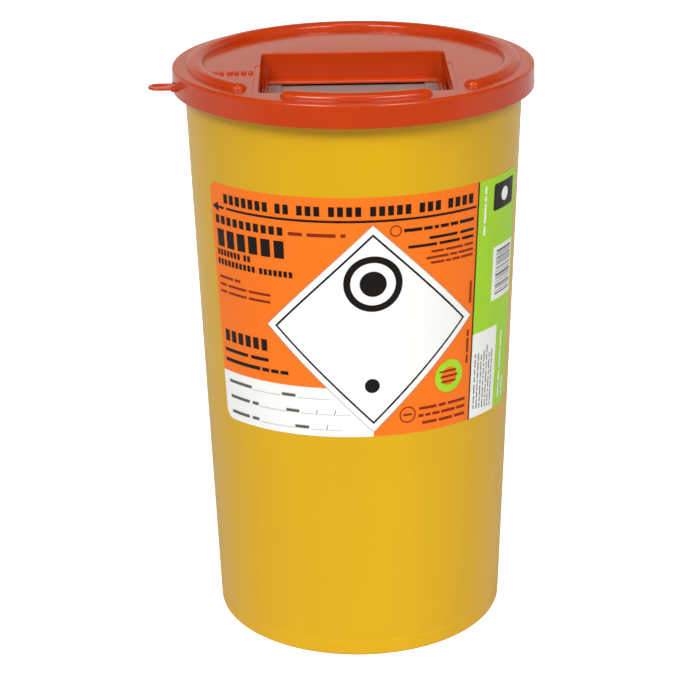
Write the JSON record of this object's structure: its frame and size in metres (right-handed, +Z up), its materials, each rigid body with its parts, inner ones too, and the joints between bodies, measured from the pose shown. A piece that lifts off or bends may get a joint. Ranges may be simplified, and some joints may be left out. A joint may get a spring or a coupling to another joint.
{
  "type": "sharps container",
  "caption": "Tapered round clinical sharps container: yellow tub, orange press-on lid with a posting well, grey sliding door, tag loop and printed wrap-around label.",
  "frame": {"origin": "centre of the tub's flat base, on the surface that it stands on", "axes": "+Z up along the tub's axis; -Y is the front, where the label and the posting well face; +X is the label's right-hand side; the tag loop points to -X"},
  "size_m": [0.1842, 0.174, 0.287],
  "materials": {
    "tub_plastic": "fine satin moulded polypropylene",
    "label_film": "satin printed film",
    "lid_plastic": "semi-gloss moulded polypropylene",
    "door_plastic": "satin moulded polypropylene"
  },
  "bodies": {
    "tub": {"tub": "tub_plastic", "label": "label_film"},
    "lid": {"lid": "lid_plastic"},
    "door": {"door": "door_plastic"}
  },
  "joints": [
    {"name": "lid_lift", "type": "slide", "parent": "tub", "child": "lid", "axis": [0, 0, 1], "range_m": [0, 0.06]},
    {"name": "door_slide", "type": "slide", "parent": "lid", "child": "door", "axis": [0, 1, 0], "range_m": [0, 0.0392]}
  ]
}
